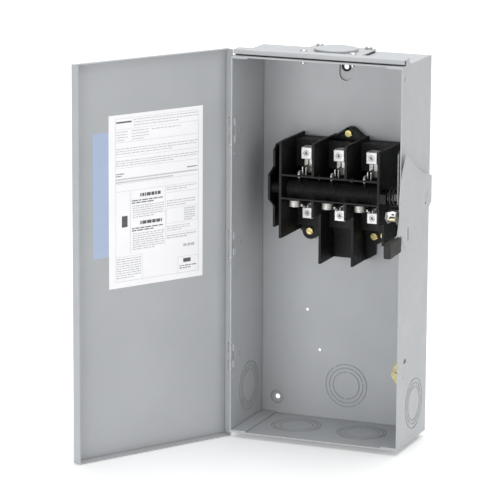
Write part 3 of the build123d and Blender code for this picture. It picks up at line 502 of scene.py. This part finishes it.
def white_label_print():
    """Ruled form with headings, paragraphs and small tables, all as meaningless bars."""
    draw = random.Random(SEED)
    dark = bmesh.new()
    pale = bmesh.new()
    ink = bar_adder(dark, "instruction_label")
    grey = bar_adder(pale, "instruction_label")
    page = (0.075, 0.945)
    outline(grey, 0.07, 0.955, 0.035, 0.978)
    # Heading and opening paragraph.
    ink(0.08, 0.24, 0.951, 0.960)
    text_rows(draw, grey, (0.26, page[1]), 0.967, 3, 0.016)
    # Small table, then two ruled paragraphs and a line of larger type.
    for level in (0.915, 0.840, 0.757, 0.692, 0.602, 0.557):
        grey(*page, level, level + RULE_T)
    text_rows(draw, grey, (0.08, 0.20), 0.903, 4, 0.016, word=0.02)
    text_rows(draw, grey, (0.24, 0.42), 0.903, 4, 0.016, word=0.02)
    text_rows(draw, grey, (0.45, 0.76), 0.901, 1, 0.016)
    text_rows(draw, grey, page, 0.805, 3, 0.014)
    text_rows(draw, grey, page, 0.735, 3, 0.013)
    text_rows(draw, ink, (0.075, 0.16), 0.662, 2, 0.012, 0.005, 0.02)
    text_rows(draw, ink, (0.83, 0.94), 0.655, 1, 0.012, 0.006, 0.02)
    text_rows(draw, grey, page, 0.632, 2, 0.016, 0.008, 0.012)
    # Middle column: two blocks, each a bold bar over a paragraph.
    grey(0.225, 0.225 + 2 * RULE_T, 0.19, 0.557)
    grey(0.595, 0.595 + 2 * RULE_T, 0.21, 0.557)
    for top, rows in ((0.535, 6), (0.374, 8)):
        text_rows(draw, ink, (0.33, 0.56), top, 1, 0.01, 0.019, 0.036)
        text_rows(draw, ink, (0.24, 0.57), top - 0.036, 2, 0.013, 0.006, 0.05)
        text_rows(draw, grey, (0.25, 0.585), top - 0.068, rows, 0.0128, 0.005)
    # Right column.
    text_rows(draw, grey, (0.61, 0.94), 0.548, 2, 0.012)
    grey(0.61, page[1], 0.516, 0.516 + RULE_T)
    text_rows(draw, grey, (0.61, 0.92), 0.470, 3, 0.014, 0.005)
    outline(grey, 0.61, 0.94, 0.335, 0.425)
    text_rows(draw, grey, (0.80, 0.92), 0.415, 6, 0.013, 0.006, 0.02)
    text_rows(draw, grey, (0.61, 0.86), 0.320, 3, 0.012)
    grey(0.61, page[1], 0.277, 0.277 + RULE_T)
    text_rows(draw, grey, (0.61, 0.93), 0.267, 2, 0.013, 0.006)
    text_rows(draw, grey, (0.79, 0.91), 0.205, 1, 0.01, 0.016, 0.03)
    # Lower left paragraph and lower right box.
    outline(grey, 0.07, 0.35, 0.035, 0.18)
    text_rows(draw, grey, (0.08, 0.335), 0.168, 9, 0.0135, 0.005)
    outline(grey, 0.73, 0.955, 0.035, 0.13)
    ink(0.79, 0.87, 0.095, 0.118)
    text_rows(draw, ink, (0.75, 0.94), 0.078, 2, 0.013, 0.005)
    # Plain block where a picture would be.
    ink(0.135, 0.195, 0.350, 0.415)
    ink_look = print_ink("label_ink", (0.085, 0.085, 0.09))
    grey_look = print_ink("label_ink_grey", (0.45, 0.45, 0.465))
    mesh_piece("label_print_dark", dark, ink_look, "door")
    mesh_piece("label_print_grey", pale, grey_look, "door")


def blue_label_print():
    """Faint pale rows on the blue label, as far as it shows past the white one."""
    draw = random.Random(SEED + 1)
    work = bmesh.new()
    add = bar_adder(work, "rating_label")
    text_rows(draw, add, (0.10, 0.34), 0.95, 30, 0.031, 0.006, 0.05)
    look = print_ink("label_ink_blue", (0.31, 0.41, 0.60))
    mesh_piece("label_print_blue", work, look, "door")


# ======================================================================
# Studio
# ======================================================================

def camera_axes(azimuth, pitch, roll):
    back = Vector((sin(azimuth) * cos(pitch), -cos(azimuth) * cos(pitch), sin(pitch)))
    right = Vector((cos(azimuth), sin(azimuth), 0.0))
    up = back.cross(right)
    return Matrix((right, up, back)).transposed() @ Matrix.Rotation(roll, 3, "Z")


def place_camera():
    data = bpy.data.cameras.new("camera")
    data.lens = LENS
    data.sensor_width = SENSOR
    data.clip_end = VIEW_DEPTH
    camera = bpy.data.objects.new("camera", data)
    bpy.context.scene.collection.objects.link(camera)
    axes = camera_axes(radians(AZIMUTH), radians(PITCH), radians(ROLL))
    camera.matrix_world = Matrix.Translation(CAMERA_AT) @ axes.to_4x4()
    bpy.context.scene.camera = camera


def soft_light(name, at, aim, size, power, colour):
    data = bpy.data.lights.new(name, "AREA")
    data.shape = "RECTANGLE"
    data.size = size[0]
    data.size_y = size[1]
    data.energy = power
    data.color = colour
    lamp = bpy.data.objects.new(name, data)
    bpy.context.scene.collection.objects.link(lamp)
    lamp.location = at
    lamp.rotation_euler = (Vector(aim) - Vector(at)).to_track_quat("-Z", "Y").to_euler()


def light_studio():
    world = bpy.data.worlds.new("studio")
    world.use_nodes = True
    nodes = world.node_tree.nodes
    links = world.node_tree.links
    background = nodes["Background"]
    background.inputs["Color"].default_value = WORLD_COLOUR
    background.inputs["Strength"].default_value = WORLD_STRENGTH
    # White where the camera sees it, softer where it only lights the part.
    white = nodes.new("ShaderNodeBackground")
    seen = nodes.new("ShaderNodeLightPath")
    mixed = nodes.new("ShaderNodeMixShader")
    links.new(seen.outputs["Is Camera Ray"], mixed.inputs["Fac"])
    links.new(background.outputs["Background"], mixed.inputs[1])
    links.new(white.outputs["Background"], mixed.inputs[2])
    links.new(mixed.outputs["Shader"], nodes["World Output"].inputs["Surface"])
    bpy.context.scene.world = world
    low, high = cad_box
    middle = (Vector(low) + Vector(high)) / 2
    for name, at, size, power, colour in PART_LIGHTS:
        soft_light(name, at, middle, size, power, colour)
    # Lifts the far floor towards white.
    below = (WASH_AT[0], WASH_AT[1], low[2])
    soft_light("floor_wash", WASH_AT, below, WASH_SIZE, WASH_POWER, (1.0, 1.0, 1.0))


def lay_floor():
    low = Vector(cad_box[0])
    level = low.z - FLOOR_GAP
    half = FLOOR_SIZE / 2
    work = bmesh.new()
    corners = [work.verts.new((x, y, level)) for x, y in
               ((-half, -half), (half, -half), (half, half), (-half, half))]
    work.faces.new(corners)
    mesh = bpy.data.meshes.new("studio_floor")
    work.to_mesh(mesh)
    work.free()
    mesh.materials.append(studio_floor("studio_floor"))
    floor = bpy.data.objects.new("studio_floor", mesh)
    bpy.context.scene.collection.objects.link(floor)


# ======================================================================
# Making
# ======================================================================

bpy.context.scene.view_settings.view_transform = "Standard"
dress_cad_nodes()
white_label_print()
blue_label_print()
place_camera()
light_studio()
lay_floor()
